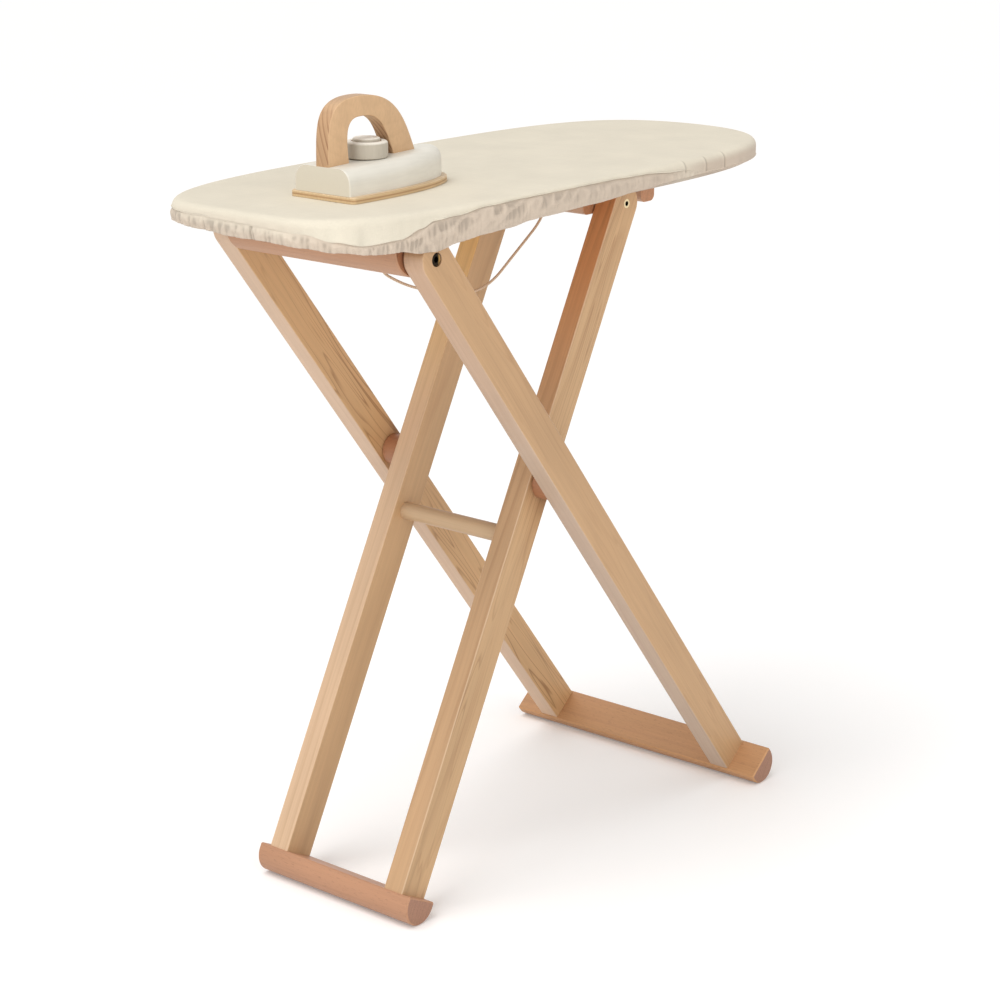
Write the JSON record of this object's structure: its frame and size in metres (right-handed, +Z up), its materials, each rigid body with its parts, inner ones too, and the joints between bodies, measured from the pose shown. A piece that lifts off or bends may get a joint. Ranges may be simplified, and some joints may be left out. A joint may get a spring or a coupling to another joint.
{
  "type": "toy ironing board",
  "caption": "Folding wooden toy ironing board on crossed legs, with a padded cloth-covered top and a toy iron with an arched handle and a turning dial.",
  "frame": {"origin": "on the floor, under the middle of the open board", "axes": "+Z up, +X from the board's wide end to its rounded nose, -Y the side that the picture shows"},
  "size_m": [0.5454, 0.253, 0.6025],
  "materials": {
    "leg_pine": "fine sanded, clear satin oil",
    "foot_wood": "sanded hardwood, dull satin",
    "dowel_wood": "sanded",
    "panel_wood": "sanded plywood",
    "batten_wood": "sanded",
    "padding": "soft needled felt",
    "cover_cloth": "plain woven cotton, matt",
    "cord": "twisted cotton, matt",
    "eyelet_metal": "rolled, satin",
    "bolt_steel": "blackened, satin",
    "bolt_brass": "satin plated",
    "insert_brass": "machined",
    "screw_steel": "zinc plated",
    "washer_nylon": "matt",
    "sole_plywood": "birch plywood, sanded edge",
    "iron_paint": "water based paint, satin",
    "handle_wood": "beech, clear satin lacquer",
    "dial_wood": "beech, sanded, a painted ring"
  },
  "bodies": {
    "outer_frame": {"outer_leg_near": "leg_pine", "outer_leg_far": "leg_pine", "outer_foot": "foot_wood", "outer_foot_dowels": "dowel_wood", "pivot_peg_near": "dowel_wood", "pivot_peg_far": "dowel_wood"},
    "inner_frame": {"inner_leg_near": "leg_pine", "inner_leg_far": "leg_pine", "inner_foot": "foot_wood", "inner_foot_dowels": "dowel_wood", "rung": "leg_pine", "top_bar": "leg_pine", "top_bolt_near": "bolt_brass", "top_bolt_far": "bolt_brass"},
    "board": {"board_panel": "panel_wood", "foam_pad": "padding", "cover": "cover_cloth", "hinge_rail": "batten_wood", "rear_stop": "batten_wood", "middle_stop": "batten_wood", "nose_stop": "batten_wood", "slot_blocks": "batten_wood", "board_screws": "screw_steel", "hinge_bolt_near": "bolt_steel", "hinge_bolt_far": "bolt_steel", "rail_insert_near": "insert_brass", "rail_insert_far": "insert_brass", "hinge_washers": "washer_nylon", "drawcord": "cord", "cord_eyelets": "eyelet_metal"},
    "iron": {"iron_soleplate": "sole_plywood", "iron_body": "iron_paint", "iron_handle": "handle_wood", "iron_handle_dowels": "dowel_wood", "iron_dial_pin": "dowel_wood"},
    "dial": {"iron_dial": "dial_wood"}
  },
  "joints": [
    {"name": "leg_fold", "type": "hinge", "parent": "outer_frame", "child": "inner_frame", "pos_m": [-0.02242, 0, 0.30501], "axis": [0, -1, 0], "range_deg": [0, 61]},
    {"name": "board_hinge", "type": "hinge", "parent": "outer_frame", "child": "board", "pos_m": [-0.178, 0, 0.502], "axis": [0, -1, 0], "range_deg": [0, 98]},
    {"name": "iron_lift", "type": "slide", "parent": "board", "child": "iron", "axis": [0, 0, 1], "range_m": [0, 0.12]},
    {"name": "dial_turn", "type": "hinge", "parent": "iron", "child": "dial", "pos_m": [-0.1564, -0.018, 0.5583], "axis": [0, 0, 1], "continuous": true}
  ],
  "couplings": [
    {"joint": "board_hinge", "follows": "leg_fold", "ratio": 1.6}
  ]
}
